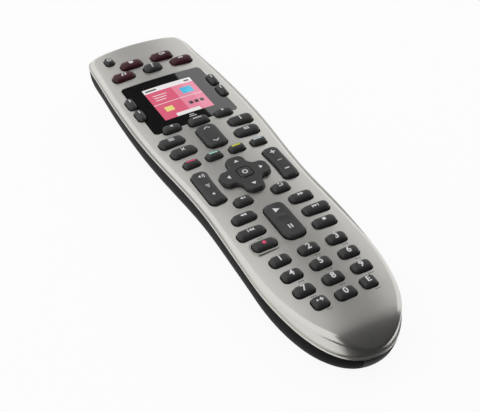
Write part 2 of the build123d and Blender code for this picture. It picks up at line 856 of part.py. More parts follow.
def pad_pivot_plate():
    """Ring with two pins each way, which lets the direction pad tip two ways."""
    x, y = on_face(pad_place_shares)
    ring = Cylinder(pivot_outer_radius, pivot_height)
    ring -= Cylinder(pivot_outer_radius - pivot_wall, pivot_height)
    middle = pivot_outer_radius - pivot_wall / 2
    for turn in (0, 90, 180, 270):
        pin = Pos(middle, 0, 0) * Rot(0, 90, 0) * Cylinder(pivot_pin_radius, pivot_wall / 2 + pivot_pin_reach,
                                                           align=bottom_align)
        ring += Rot(0, 0, turn) * pin
    return Pos(x, y, pivot_z()) * ring


def battery_cells():
    """Two cells side by side, pointing opposite ways."""
    cells = []
    for sign in (-1, 1):
        body_length = cell_length - cell_tip_length
        body = Pos(0, 0, -cell_length / 2) * Cylinder(cell_diameter / 2, body_length, align=bottom_align)
        tip = Pos(0, 0, body_length - cell_length / 2) * Cylinder(cell_tip_diameter / 2, cell_tip_length,
                                                                  align=bottom_align)
        cell = Pos(sign * cell_spacing / 2, cell_middle_y, cell_middle_z) * Rot(-sign * 90, 0, 0) * (body + tip)
        cells.append(cell)
    return cells


def battery_contacts():
    """Sprung plates at both ends of each cell."""
    contacts = []
    for side_sign in (-1, 1):
        for end_sign in (-1, 1):
            wall_y = cell_middle_y + end_sign * bay_half_length
            plate_y = wall_y - end_sign * contact_thickness
            touch_y = cell_middle_y + end_sign * (cell_length / 2 + contact_slack)
            low_z = cell_middle_z - contact_height / 2
            high_z = cell_middle_z + contact_height / 2
            bow = ThreePointArc((plate_y, low_z), (touch_y, cell_middle_z), (plate_y, high_z))
            back = Polyline((plate_y, high_z), (wall_y, high_z), (wall_y, low_z), (plate_y, low_z))
            spring = extrude(Plane.YZ * make_face(bow + back), contact_width / 2, both=True)
            contacts.append(Pos(side_sign * cell_spacing / 2, 0, 0) * spring)
    return contacts


def housing_screws():
    """Four screws that enter from the underside."""
    screws = []
    for spot in screw_places():
        head = Pos(*spot, screw_seat_z - screw_head_height) * Cylinder(
            screw_head_radius, screw_head_height, align=bottom_align)
        drive = Pos(*spot, screw_seat_z - screw_head_height) * Cylinder(
            screw_radius, screw_head_height / 2, align=bottom_align)
        shank = Pos(*spot, screw_seat_z) * Cylinder(screw_radius, screw_length, align=bottom_align)
        screws.append(head - drive + shank)
    return screws


def save(name, shape):
    """Write one node; a list becomes a group of separate solids."""
    if isinstance(shape, list):
        shape = Compound(children=[Solid(solid.wrapped) for piece in shape for solid in piece.solids()])
    export_step(shape, f"parts/{name}.step")


def main():
    """Write every node."""
    for name, outline, place, ceiling in key_places():
        save(name, push_key(outline, place, ceiling))
    for name, outline, place in rocker_places():
        save(name, rocker_key(outline, place))
    save("direction_pad", direction_pad())
    save("centre_key", centre_key())
    save("pad_pivot_plate", pad_pivot_plate())
    save("screen_window", screen_window())
    save("display_module", display_module())
    save("keypad_mat", keypad_mat())
    save("circuit_board", circuit_board())
    save("battery_cells", battery_cells())
    save("battery_contacts", battery_contacts())
    save("housing_screws", housing_screws())
    save("infrared_window", infrared_window())
    save("port_cover", port_cover())
    save("battery_cover", battery_cover())
    save("bottom_housing", bottom_housing())
    save("top_housing", top_housing())


if __name__ == "__main__":
    main()
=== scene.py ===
import math

import bmesh
import bpy
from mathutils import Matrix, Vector
from mathutils.bvhtree import BVHTree


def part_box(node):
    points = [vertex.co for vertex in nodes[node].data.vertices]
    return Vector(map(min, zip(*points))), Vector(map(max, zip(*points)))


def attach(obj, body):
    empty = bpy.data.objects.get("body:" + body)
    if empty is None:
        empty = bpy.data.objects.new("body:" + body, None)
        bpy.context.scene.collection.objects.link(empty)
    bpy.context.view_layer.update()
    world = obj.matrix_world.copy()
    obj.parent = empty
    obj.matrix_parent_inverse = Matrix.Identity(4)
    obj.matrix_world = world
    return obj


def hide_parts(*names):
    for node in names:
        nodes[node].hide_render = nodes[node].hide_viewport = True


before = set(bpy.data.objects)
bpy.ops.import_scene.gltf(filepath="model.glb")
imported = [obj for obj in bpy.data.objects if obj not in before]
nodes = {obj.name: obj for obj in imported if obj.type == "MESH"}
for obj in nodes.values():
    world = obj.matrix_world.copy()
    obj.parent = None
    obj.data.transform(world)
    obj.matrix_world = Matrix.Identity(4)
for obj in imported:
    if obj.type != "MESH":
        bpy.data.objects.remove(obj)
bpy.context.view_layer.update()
mm = 0.001

# Camera, fitted to the photograph
camera_place = (-170.24, -294.99, 308.25)
camera_turn = (47.697, -0.899, -29.557)
camera_lens = 72.26
sensor_width = 36.0

# Studio, in metres
world_colour = (0.95, 0.97, 1.0)
world_light = 0.35
backdrop_light = 1.0
floor_reach = 3.0
floor_grey = 0.92
floor_roughness = 0.9
floor_glow_share = 0.93
lamp_left_place = (-0.55, 0.45, 0.90)
lamp_left_size = 1.4
lamp_left_power = 7.0
lamp_right_place = (0.90, 0.50, 0.70)
lamp_right_size = 0.85
lamp_right_power = 3.2
card_grey = 0.02
card_height = 0.62
card_middle = ((0.26, 0.24), (0.50, 0.24), (0.40, 0.94), (0.14, 0.94))
card_tail = ((0.10, -0.22), (0.46, -0.22), (0.42, 0.24), (0.22, 0.24))
card_front_x = (-0.09, 0.46)
card_front_y = -0.22
card_low_y = -0.118
card_low_height = 0.001

# Face of the silver shell
face_height = 24.0
rise_start_y = 59.0
rise_radius = 1366.0
arch_start_y = 10.4
arch_radius = 3543.0
crown_radius = 322.0
nose_y = -101.0             # the face turns down from here
face_tolerance = 0.1
level_share = 0.99          # upward share of the direction that a triangle of the face looks in

# Key caps
flange_width = 0.65
cap_slack = 0.15            # a cap is this much smaller all round than its solid
cap_back = 0.15             # and stands this much nearer to the screen end
volume_width = 8.3
volume_x = 18.696
wall_depth = 4.6            # how far a cap reaches down from its top
corner_steps = 6
side_steps = 6
front_fall = 0.55           # a cap falls this much towards the tail
side_fall = 0.22
long_kinds = ("volume", "page", "play")
long_front_fall = 0.25
front_fall_power = 1.6
cap_profile = ((0.0, 1.5), (0.03, 1.05), (0.16, 0.66), (0.38, 0.36), (0.72, 0.14), (1.15, 0.03), (1.6, 0.0))
least_corner_share = 0.3    # a ring's corner is never sharper than this share of the cap's own
inner_rings = 9
cap_corners = {
    "power": 1.6, "activity": 2.4, "help": 2.8, "side": 2.1, "arrow": 2.0, "middle": 1.9, "menu": 2.5,
    "colour": 1.7, "mute": 2.1, "transport": 2.2, "digit": 2.1, "corner": 1.9, "page": 3.2, "volume": 2.8,
    "play": 4.0,
}
waist = 0.8
middle_arch = 2.1
ridge_y = 1.6
ridge_height = 0.45
ridge_width = 0.75
ridge_bow = 0.05
ridge_reach_share = 0.36    # half the ridge's length, as a share of the key's width

# Prints
print_lift = 0.045
print_sink = 0.08
print_step = 0.4            # no edge of a print is longer than this
print_rounds = 5
sheet_step = 1.4
mark_x = 0.9                # small marks on the face, from the middle of a key
mark_y = -4.15
mark_pitch = 0.95
mark_count = 3
mark_width = 0.6
mark_height = 0.55
mark_lift = 0.02
stroke = 0.42
thin_stroke = 0.35
arc_step = 18               # degrees of an arc in one piece of it
speaker_rear_x = -0.9
speaker_throat_x = -0.45
speaker_mouth_x = 0.2
speaker_throat = 0.35
speaker_mouth = 0.9
colour_bar_y = 0.95
colour_bar_width = 4.4
colour_bar_height = 0.85
record_dot_y = 0.5
record_dot_radius = 0.95
digit_size = 4.3
digit_y = 0.35
bold_share = 0.022          # how much thicker figures are drawn, as a share of their size
round_steps = 20
figure_steps = 3            # of each curve in a figure's outline
ray_height = 1.0            # in metres, well over the object

# Signs on the keys, from the middle of each key. A bar is its place, width, height and turn in degrees
sign_bars = {
    "power_key": [(0, 1.0, stroke, 1.2)],
    "activity_key_1": [(0, 0.7, 2.4, 1.5), (0, -0.35, 1.3, 0.3)],
    "activity_key_2": [(1.7, 0.4, 0.9, 1.3)],
    "activity_key_3": [(-0.25, 0.8, 0.3, 1.6), (1.45, 1.0, 0.3, 1.6), (0.6, 1.7, 2.0, 0.4)],
    "activity_key_4": [(0, 0.4, 2.6, 0.4), (-0.9, 0.9, 0.4, 1.0), (0.9, 0.9, 0.4, 1.0)],
    "middle_key": [(0, 0.9, 4.6, 0.5)],
    "menu_key": [(0, y, 2.9, 0.36) for y in (1.3, 0.55, -0.2)],
    "exit_key": [(0, 0.6, 2.4, stroke, turn) for turn in (45, -45)],
    "guide_key": [(x, y, 0.7, 0.7) for x in (-0.95, 0, 0.95) for y in (1.1, 0.15)],
    "mute_key": [(1.0, 0.7, 1.1, 0.32, turn) for turn in (45, -45)],
    "return_key": [(-0.2, -0.15, 1.4, stroke)],
    "skip_back_key": [(-1.3, 0.6, 0.4, 1.6)],
    "skip_forward_key": [(1.3, 0.6, 0.4, 1.6)],
    "stop_key": [(0, 0.7, 1.6, 1.5)],
    "plus_key": [(0.8, 0.5, 1.9, 0.5), (0.8, 0.5, 0.5, 1.9)],
    "volume_rocker": [(0, 1.0, 2.2, thin_stroke), (0, 0.2, 1.4, thin_stroke), (0, -0.6, 0.7, thin_stroke)],
    "channel_rocker": [(0, 7.2, 2.6, 0.6), (0, 7.2, 0.6, 2.6), (0, -5.8, 2.3, 0.6)]
    + [(x, 0.7, 0.5, 0.5) for x in (-0.8, 0, 0.8)],
    "play_pause_rocker": [(x, -5.0, 0.6, 2.4) for x in (-0.65, 0.65)],
    **{f"side_key_{n}": [(0, 1.5, 0.55, 2.2)] for n in range(1, 5)},
}
# A triangle is the same, and points up where it isn't turned
sign_triangles = {
    "left_arrow_key": [(0, 0.7, 1.7, 1.5, 90)],
    "right_arrow_key": [(0, 0.7, 1.7, 1.5, -90)],
    "rewind_key": [(x, 0.7, 1.7, 1.5, 90) for x in (-0.8, 0.6)],
    "fast_forward_key": [(x, 0.7, 1.7, 1.5, -90) for x in (-0.6, 0.8)],
    "skip_back_key": [(x, 0.6, 1.6, 1.3, 90) for x in (-0.2, 1.05)],
    "skip_forward_key": [(x, 0.6, 1.6, 1.3, -90) for x in (0.2, -1.05)],
    "return_key": [(-0.6, 1.35, 1.2, 1.0, 90)],
    "play_pause_rocker": [(0, 6.6, 3.0, 2.8, -90)],
    "direction_pad": [(x, y, 2.4, 1.6, turn)
                      for x, y, turn in ((0, 8.6, 0), (0, -8.6, 180), (-8.4, 0, 90), (8.4, 0, -90))],
}
# A disc is its place and radius, and a loudspeaker is its place
sign_discs = {
    "activity_key_3": [(-0.7, 0.0, 0.55), (1.0, 0.2, 0.55)],
    "activity_key_4": [(0, 1.2, 0.4)],
    "plus_key": [(-1.1, 0.5, 0.45)],
}
sign_speakers = {"mute_key": [(-0.1, 0.7)], "volume_rocker": [(-0.3, 7.4), (0, -5.6)]}
# An arc is its place, its radius, the degrees that it goes from and to, and its stroke
sign_arcs = {
    "power_key": [(0, 0.2, 1.0, 110, 430, stroke)],
    "activity_key_2": [(0, 0.4, 0.85, 0, 360, stroke)],
    "return_key": [(0.5, 0.6, 0.75, -90, 90, stroke)],
    "volume_rocker": [(-0.4, 7.4, radius, -40, 40, thin_stroke) for radius in (1.3, 2.1)],
    "centre_key": [(0, 0, 1.1, 0, 360, 0.5)],
}
# A chevron is its place, width and height, and 1 or -1 for up or down
sign_chevrons = {"page_rocker": [(0, 5.2, 3.0, 1.1, 1), (0, -5.0, 3.0, 1.1, -1)]}
# A letter or figure is itself, its size, and how far above the middle it stands
sign_letters = {
    "help_key": ("?", 4.4, 0.4),
    "info_key": ("i", 4.4, 0.4),
    "enter_key": ("E", 4.0, 0.5),
    **{f"digit_key_{n}": (str(n), digit_size, digit_y) for n in range(10)},
}

# Page on the display
page_side = 13.4
page_foot = 45.6
page_head = 72.8
# the page's right half, from here across, is drawn paler: a painted reflection on the glass
page_split_x = 1.0
page_lift = 0.02
half_lift = 0.03
block_lift = 0.045
sign_lift = 0.06
header_height = 3.6
footer_side = 6.5
footer_height = 2.6
cyan_low = (4.2, 61.0)
cyan_high = (10.4, 66.2)
yellow_low = (-9.6, 51.4)
yellow_high = (-5.2, 55.2)
line_x = -10.6
line_end_x = -3.0
line_heights = (65.6, 63.6, 61.6)
line_width = 0.35
line_share = 1.4            # the short lines are this much thicker than the divider
divider_y = 58.4
square_x = 3.2
square_pitch = 3.0
square_count = 3
square_low = 51.6
square_high = 53.9
square_width = 2.1
header_sign_top = 1.3       # from the head of the page down
header_mark_foot = 2.4
header_mark_x = (1.2, 7.0)
header_level_foot = 2.5
header_level_x = (4.2, 1.4)
window_bars = ((44.0, 2.6), (42.6, 4.0))
window_bar_height = 0.45
screen_glow = 0.75
square_glow = 0.1
unlit_share = 0.25          # how pale the lit screen's pieces are by themselves
coat_roughness = 0.04
grain_detail = 3


def key_kinds():
    """Kind of each key that gets a softer cap than its solid has."""
    kinds = {"power_key": "power", "help_key": "help", "middle_key": "middle", "page_rocker": "page",
             "play_pause_rocker": "play", "plus_key": "corner", "enter_key": "corner"}
    groups = {
        "activity": [f"activity_key_{n}" for n in range(1, 5)],
        "side": [f"side_key_{n}" for n in range(1, 5)],
        "arrow": ["left_arrow_key", "right_arrow_key"],
        "menu": ["menu_key", "info_key", "exit_key", "guide_key"],
        "colour": ["red_key", "green_key", "yellow_key", "blue_key"],
        "mute": ["mute_key", "return_key"],
        "transport": ["rewind_key", "fast_forward_key", "skip_back_key", "skip_forward_key", "record_key",
                      "stop_key"],
        "digit": [f"digit_key_{n}" for n in range(10)],
        "volume": ["volume_rocker", "channel_rocker"],
    }
    for kind, names in groups.items():
        for name in names:
            kinds[name] = kind
    return kinds


# Materials

def new_material(name):
    """An empty node material: its nodes, its links and its main shader."""
    material = bpy.data.materials.new(name)
    material.use_nodes = True
    tree = material.node_tree
    return material, tree, tree.nodes["Principled BSDF"]


def moulded(name, colour, roughness, metallic=0.0, grain=0.2, spread=0.08, bump=0.25, coat=0.0, depth=0.02,
            specular=0.5):
    """A surface with fine grain: colour, how far it varies, and bumps of the same size, in millimetres."""
    material, tree, shader = new_material(name)
    place = tree.nodes.new("ShaderNodeTexCoord")
    noise = tree.nodes.new("ShaderNodeTexNoise")
    noise.inputs["Scale"].default_value = 1 / (grain * mm)
    noise.inputs["Detail"].default_value = grain_detail
    tree.links.new(place.outputs["Object"], noise.inputs["Vector"])
    mix = tree.nodes.new("ShaderNodeMix")
    mix.data_type = "RGBA"
    mix.inputs["A"].default_value = [value * (1 - spread) for value in colour] + [1]
    mix.inputs["B"].default_value = [min(value * (1 + spread), 1) for value in colour] + [1]
    tree.links.new(noise.outputs["Fac"], mix.inputs["Factor"])
    tree.links.new(mix.outputs["Result"], shader.inputs["Base Color"])
    lump = tree.nodes.new("ShaderNodeBump")
    lump.inputs["Strength"].default_value = bump
    lump.inputs["Distance"].default_value = depth * mm
    tree.links.new(noise.outputs["Fac"], lump.inputs["Height"])
    tree.links.new(lump.outputs["Normal"], shader.inputs["Normal"])
    shader.inputs["Roughness"].default_value = roughness
    shader.inputs["Metallic"].default_value = metallic
    shader.inputs["Specular IOR Level"].default_value = specular
    shader.inputs["Coat Weight"].default_value = coat
    shader.inputs["Coat Roughness"].default_value = coat_roughness
    return material


def glowing(name, colour, strength):
    """A piece of the lit screen, under its glass."""
    unlit = [value * unlit_share for value in colour]
    material = moulded(name, unlit, 0.5, grain=0.4, spread=0.03, bump=0.02, coat=1.0)
    shader = material.node_tree.nodes["Principled BSDF"]
    shader.inputs["Emission Color"].default_value = list(colour) + [1]
    shader.inputs["Emission Strength"].default_value = strength
    return material


silver = moulded("silver_paint", (0.68, 0.665, 0.63), 0.28, metallic=0.93, grain=0.16, spread=0.10, bump=0.10)
black_shell = moulded("black_shell", (0.005, 0.005, 0.0047), 0.55, grain=0.25, spread=0.2, bump=0.15,
                      specular=0.05)
charcoal = moulded("key_rubber", (0.037, 0.0365, 0.0355), 0.40, grain=0.18, spread=0.12, bump=0.12,
                   specular=0.45)
wine = moulded("activity_rubber", (0.052, 0.009, 0.015), 0.38, grain=0.18, spread=0.12, bump=0.12,
               specular=0.4)
glass = moulded("window_gloss", (0.003, 0.003, 0.0031), 0.03, grain=2.0, spread=0.1, bump=0.005, coat=1.0)
white_print = moulded("white_print", (0.86, 0.86, 0.84), 0.5, grain=0.3, spread=0.03, bump=0.05)
pink_print = moulded("pink_print", (0.83, 0.09, 0.20), 0.45, grain=0.3, spread=0.03, bump=0.05)
mint_print = moulded("mint_print", (0.42, 0.80, 0.66), 0.45, grain=0.3, spread=0.03, bump=0.05)
grey_print = moulded("grey_print", (0.13, 0.125, 0.12), 0.5, grain=0.3, spread=0.03, bump=0.05)
yellow_print = moulded("yellow_print", (0.85, 0.82, 0.05), 0.45, grain=0.3, spread=0.03, bump=0.05)
pale_print = moulded("pale_print", (0.72, 0.84, 0.90), 0.45, grain=0.3, spread=0.03, bump=0.05)
screen_pink = glowing("screen_pink", (0.74, 0.10, 0.19), screen_glow)
# paler pink of the page's right half: a painted reflection on the glass, not a colour of the screen
screen_reflection_pink = glowing("screen_reflection_pink", (0.84, 0.25, 0.36), screen_glow)
screen_white = glowing("screen_white", (0.88, 0.86, 0.86), screen_glow)
screen_cyan = glowing("screen_cyan", (0.06, 0.52, 0.78), screen_glow)
screen_yellow = glowing("screen_yellow", (0.86, 0.76, 0.22), screen_glow)
screen_grey = glowing("screen_grey", (0.12, 0.12, 0.13), square_glow)
other_finishes = {
    "display_module": moulded("display_frame", (0.25, 0.25, 0.26), 0.4, metallic=0.6),
    "keypad_mat": moulded("mat_rubber", (0.13, 0.135, 0.14), 0.7),
    "circuit_board": moulded("board_resin", (0.01, 0.10, 0.03), 0.35, grain=0.8, spread=0.15),
    "battery_cells": moulded("cell_jacket", (0.10, 0.10, 0.12), 0.3, metallic=0.5, grain=1.5),
    "battery_contacts": moulded("contact_spring", (0.62, 0.60, 0.56), 0.25, metallic=1.0),
    "housing_screws": moulded("screw_steel", (0.35, 0.35, 0.36), 0.3, metallic=1.0),
    "infrared_window": moulded("infrared_dark", (0.012, 0.003, 0.005), 0.08, grain=2.0, bump=0.02, coat=0.5),
    "port_cover": moulded("flap_rubber", (0.012, 0.012, 0.012), 0.6, grain=0.2, bump=0.3),
    "pad_pivot_plate": moulded("pivot_plastic", (0.30, 0.30, 0.29), 0.5),
}


def paint(piece, material):
    """Give a piece one material in every slot."""
    if not piece.data.materials:
        piece.data.materials.append(material)
    for index in range(len(piece.data.materials)):
        piece.data.materials[index] = material


# Meshes

def add_piece(name, built, material, body):
    """Make an object of a finished bmesh, painted, and riding on a body."""
    bmesh.ops.recalc_face_normals(built, faces=built.faces)
    mesh = bpy.data.meshes.new(name)
    built.to_mesh(mesh)
    built.free()
    piece = bpy.data.objects.new(name, mesh)
    bpy.context.scene.collection.objects.link(piece)
    paint(piece, material)
    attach(piece, body)
    return piece


def middle_of(name):
    """Middle of a node's box, seen from above, in millimetres."""
    low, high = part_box(name)
    return (low[0] + high[0]) / 2 / mm, (low[1] + high[1]) / 2 / mm


def face_shape(x, y):
    """Height of the key face and the direction that it looks in."""
    rise = max(y - rise_start_y, 0)
    fall = max(arch_start_y - y, 0)
    height = (face_height + rise ** 2 / (2 * rise_radius) - fall ** 2 / (2 * arch_radius)
              - x ** 2 / (2 * crown_radius))
    slope = rise / rise_radius + fall / arch_radius
    return height, Vector((x / crown_radius, -slope, 1)).normalized()


def make_shell():
    """The silver shell again, shaded along its true curve and not along its triangles."""
    mesh = nodes["top_housing"].data.copy()
    directions = [corner.vector.copy() for corner in mesh.corner_normals]
    for polygon in mesh.polygons:
        if polygon.normal.z > level_share:
            for index in polygon.loop_indices:
                place = mesh.vertices[mesh.loops[index].vertex_index].co / mm
                height, direction = face_shape(place.x, place.y)
                if abs(place.z - height) < face_tolerance and place.y > nose_y:
                    directions[index] = direction
    mesh.normals_split_custom_set(directions)
    shell = bpy.data.objects.new("silver_shell", mesh)
    bpy.context.scene.collection.objects.link(shell)
    paint(shell, silver)
    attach(shell, "case")
    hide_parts("top_housing")


def round_outline(width, length, corner):
    """Points of a rectangle with round corners, the same number for every size."""
    points = []
    centres = [(1, 1, 0), (-1, 1, 90), (-1, -1, 180), (1, -1, 270)]
    arcs = []
    for side_x, side_y, start in centres:
        middle_x = side_x * (width / 2 - corner)
        middle_y = side_y * (length / 2 - corner)
        arc = []
        for step in range(corner_steps + 1):
            turn = math.radians(start + 90 * step / corner_steps)
            arc.append((middle_x + corner * math.cos(turn), middle_y + corner * math.sin(turn)))
        arcs.append(arc)
    for index, arc in enumerate(arcs):
        points += arc
        last = arc[-1]
        first = arcs[(index + 1) % len(arcs)][0]
        for step in range(1, side_steps):
            share = step / side_steps
            points.append((last[0] + (first[0] - last[0]) * share, last[1] + (first[1] - last[1]) * share))
    return points


def cap_rings(width, length, corner, bend):
    """Rings of a cap from its foot to its middle: the points of each, and how far it lies under the top."""
    rings = [(round_outline(width, length, corner), wall_depth)]
    for inset, drop in cap_profile:
        small_corner = max(corner - inset, corner * least_corner_share)
        rings.append((round_outline(width - 2 * inset, length - 2 * inset, small_corner), drop))
    last = rings[-1][0]
    for step in range(1, inner_rings):
        share = 1 - step / inner_rings
        rings.append(([(x * share, y * share) for x, y in last], 0.0))
    return [([bend(x, y) for x, y in points], drop) for points, drop in rings]


def soft_cap(name, kind, material):
    """A pillowed cap in the place of one key's solid."""
    low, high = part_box(name)
    middle_x, middle_y = middle_of(name)
    middle = (middle_x, middle_y + cap_back)
    width = (high[0] - low[0]) / mm - 2 * (flange_width + cap_slack)
    length = (high[1] - low[1]) / mm - 2 * (flange_width + cap_slack)
    if kind == "volume":
        width = volume_width
        middle = (math.copysign(volume_x, middle[0]), middle[1])
    top = high[2] / mm
    towards_pad = -1 if middle[0] > 0 else 1

    def bend(x, y):
        if kind == "volume" and x * towards_pad > 0:
            x *= 1 - waist / (width / 2) * (1 - (2 * y / length) ** 2)
        if kind == "middle" and y > 0:
            y *= 1 - middle_arch / length * (2 * x / width) ** 2
        return x, y

    def fall(x, y):
        front = long_front_fall if kind in long_kinds else front_fall
        lowered = side_fall * (2 * x / width) ** 2 + front * max(-2 * y / length, 0) ** front_fall_power
        if kind == "play":
            across = max(1 - (x / (width * ridge_reach_share)) ** 2, 0)
            near = (y - ridge_y + ridge_bow * x * x) / ridge_width
            lowered -= ridge_height * across * (math.exp(-near * near) - 1)
        return lowered

    built = bmesh.new()
    rows = []
    for points, drop in cap_rings(width, length, cap_corners[kind], bend):
        row = []
        for x, y in points:
            z = top - drop - (fall(x, y) if drop < wall_depth else 0)
            row.append(built.verts.new(((middle[0] + x) * mm, (middle[1] + y) * mm, z * mm)))
        rows.append(row)
    for outer, inner in zip(rows, rows[1:]):
        for index in range(len(outer)):
            following = (index + 1) % len(outer)
            built.faces.new((outer[index], outer[following], inner[following], inner[index]))
    centre = built.verts.new((middle[0] * mm, middle[1] * mm, (top - fall(0, 0)) * mm))
    for index in range(len(rows[-1])):
        following = (index + 1) % len(rows[-1])
        built.faces.new((rows[-1][index], rows[-1][following], centre))
    built.faces.new(rows[0])
    for face in built.faces:
        face.smooth = len(face.verts) <= 4
    cap = add_piece(name + "_cap", built, material, name)
    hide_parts(name)
    return cap


# Prints

def height_over(target):
    """A function that finds the top surface of a piece under a place, in millimetres."""
    tree = BVHTree.FromPolygons([vertex.co for vertex in target.data.vertices],
                                [face.vertices for face in target.data.polygons])

    def height(x, y):
        hit = tree.ray_cast(Vector((x * mm, y * mm, ray_height)), Vector((0, 0, -1)))[0]
        return None if hit is None else hit.z / mm

    return height


def turned(corners, x, y, turn):
    """Corners turned by degrees and carried to a place."""
    c = math.cos(math.radians(turn))
    s = math.sin(math.radians(turn))
    return [(x + a * c - b * s, y + a * s + b * c) for a, b in corners]


def bar(x, y, width, height, turn=0.0):
    """A rectangle round a place, turned by degrees."""
    half_width = width / 2
    half_height = height / 2
    corners = [(-half_width, -half_height), (half_width, -half_height), (half_width, half_height),
               (-half_width, half_height)]
    return turned(corners, x, y, turn)


def triangle(x, y, width, height, turn=0.0):
    """A triangle that points up, turned by degrees."""
    return turned([(-width / 2, -height / 2), (width / 2, -height / 2), (0, height / 2)], x, y, turn)


def on_circle(x, y, radius, angle):
    """The point of a circle at an angle in radians."""
    return x + radius * math.cos(angle), y + radius * math.sin(angle)


def disc(x, y, radius):
    """A filled circle."""
    return [on_circle(x, y, radius, 2 * math.pi * n / round_steps) for n in range(round_steps)]


def arc_strip(x, y, radius, start, end, width):
    """Short quads that follow an arc."""
    count = max(int(abs(end - start) / arc_step), 2)
    inner = radius - width / 2
    outer = radius + width / 2
    quads = []
    for n in range(count):
        a = math.radians(start + (end - start) * n / count)
        b = math.radians(start + (end - start) * (n + 1) / count)
        quads.append([on_circle(x, y, inner, a), on_circle(x, y, outer, a), on_circle(x, y, outer, b),
                      on_circle(x, y, inner, b)])
    return quads


def chevron(x, y, width, height, sign):
    """Two strokes that meet in a point."""
    length = math.hypot(width / 2, height)
    turn = math.degrees(math.atan2(height, width / 2)) * sign
    return [bar(x - width / 4, y, length + stroke / 2, stroke, turn),
            bar(x + width / 4, y, length + stroke / 2, stroke, -turn)]


def print_on(name, polygons, target, material, body, lift=print_lift, step=print_step):
    """Closed thin shapes laid on the top of a piece, cut fine enough to follow it."""
    height = height_over(target)
    built = bmesh.new()
    for polygon in polygons:
        built.faces.new([built.verts.new((x * mm, y * mm, 0)) for x, y in polygon])
    bmesh.ops.triangulate(built, faces=built.faces[:])
    for _ in range(print_rounds):
        long_edges = [edge for edge in built.edges if edge.calc_length() > step * mm]
        if long_edges:
            bmesh.ops.subdivide_edges(built, edges=long_edges, cuts=1)
            bmesh.ops.triangulate(built, faces=built.faces[:])
    places = {vert: height(vert.co.x / mm, vert.co.y / mm) for vert in built.verts}
    beside = [vert for vert, place in places.items() if place is None]
    bmesh.ops.delete(built, geom=beside, context="VERTS")
    upper = built.verts[:]
    rim = [edge for edge in built.edges if edge.is_boundary]
    copied = bmesh.ops.duplicate(built, geom=upper + built.edges[:] + built.faces[:])["vert_map"]
    for edge in rim:
        first, second = edge.verts
        built.faces.new((first, second, copied[second], copied[first]))
    for vert in upper:
        copied[vert].co.z = (places[vert] - print_sink) * mm
        vert.co.z = (places[vert] + lift) * mm
    return add_piece(name, built, material, body)


def moved(polygons, x, y):
    """Polygons carried to a place."""
    return [[(a + x, b + y) for a, b in polygon] for polygon in polygons]


def letter_polygons(text, size):
    """Outlines of a figure's faces, centred."""
    curve = bpy.data.curves.new("figure", "FONT")
    curve.body = text
    curve.size = size
    curve.align_x = "CENTER"
    curve.align_y = "CENTER"
    curve.offset = size * bold_share
    curve.resolution_u = figure_steps
    holder = bpy.data.objects.new("figure", curve)
    bpy.context.scene.collection.objects.link(holder)
    mesh = bpy.data.meshes.new_from_object(holder)
    spots = [(vertex.co.x, vertex.co.y) for vertex in mesh.vertices]
    polygons = [[spots[index] for index in face.vertices] for face in mesh.polygons]
    bpy.data.objects.remove(holder)
    bpy.data.meshes.remove(mesh)
    bpy.data.curves.remove(curve)
    return polygons


def speaker(x, y):
    """A small loudspeaker."""
    upper = [(x + speaker_mouth_x, y + speaker_mouth), (x + speaker_throat_x, y + speaker_throat),
             (x + speaker_rear_x, y + speaker_throat)]
    lower = [(x + speaker_rear_x, y - speaker_throat), (x + speaker_throat_x, y - speaker_throat),
             (x + speaker_mouth_x, y - speaker_mouth)]
    return lower + upper


def legend_shapes():
    """White print of each key, round its middle, in millimetres."""
    shapes = {}
    drawn_once = ((sign_bars, bar), (sign_triangles, triangle), (sign_discs, disc), (sign_speakers, speaker))
    for signs, draw in drawn_once:
        for name, rows in signs.items():
            shapes.setdefault(name, []).extend([draw(*row) for row in rows])
    for signs, draw in ((sign_arcs, arc_strip), (sign_chevrons, chevron)):
        for name, rows in signs.items():
            for row in rows:
                shapes.setdefault(name, []).extend(draw(*row))
    for name, (letter, size, y) in sign_letters.items():
        shapes[name] = moved(letter_polygons(letter, size), 0, y)
    return shapes


def print_key(name, shapes, top, material):
    """Print shapes on the top of a key, round its middle."""
    print_on(name + "_print", moved(shapes, *middle_of(name)), top, material, name)


def make_keys():
    """Every cap, and everything printed on it."""
    tops = {"direction_pad": nodes["direction_pad"], "centre_key": nodes["centre_key"]}
    for name, kind in key_kinds().items():
        tops[name] = soft_cap(name, kind, wine if kind == "activity" else charcoal)
    for name, shapes in legend_shapes().items():
        print_key(name, shapes, tops[name], white_print)
    colours = {"red_key": pink_print, "green_key": mint_print, "yellow_key": yellow_print,
               "blue_key": pale_print}
    for name, colour in colours.items():
        print_key(name, [bar(0, colour_bar_y, colour_bar_width, colour_bar_height)], tops[name], colour)
    print_key("record_key", [disc(0, record_dot_y, record_dot_radius)], tops["record_key"], pink_print)


def make_face_marks():
    """Small grey marks on the face, below and to the right of the digit keys."""
    mark = [bar(mark_x + mark_pitch * n, mark_y, mark_width, mark_height) for n in range(mark_count)]
    face = nodes["top_housing"]
    for name in [f"digit_key_{n}" for n in range(2, 10)] + ["plus_key", "enter_key", "skip_back_key"]:
        print_on(name + "_mark", moved(mark, *middle_of(name)), face, grey_print, "case", mark_lift)


def sheet_on(name, low, high, target, material, lift):
    """One closed thin sheet that follows the surface under it."""
    corners = [(low[0], low[1]), (high[0], low[1]), (high[0], high[1]), (low[0], high[1])]
    print_on(name, [corners], target, material, "case", lift, sheet_step)


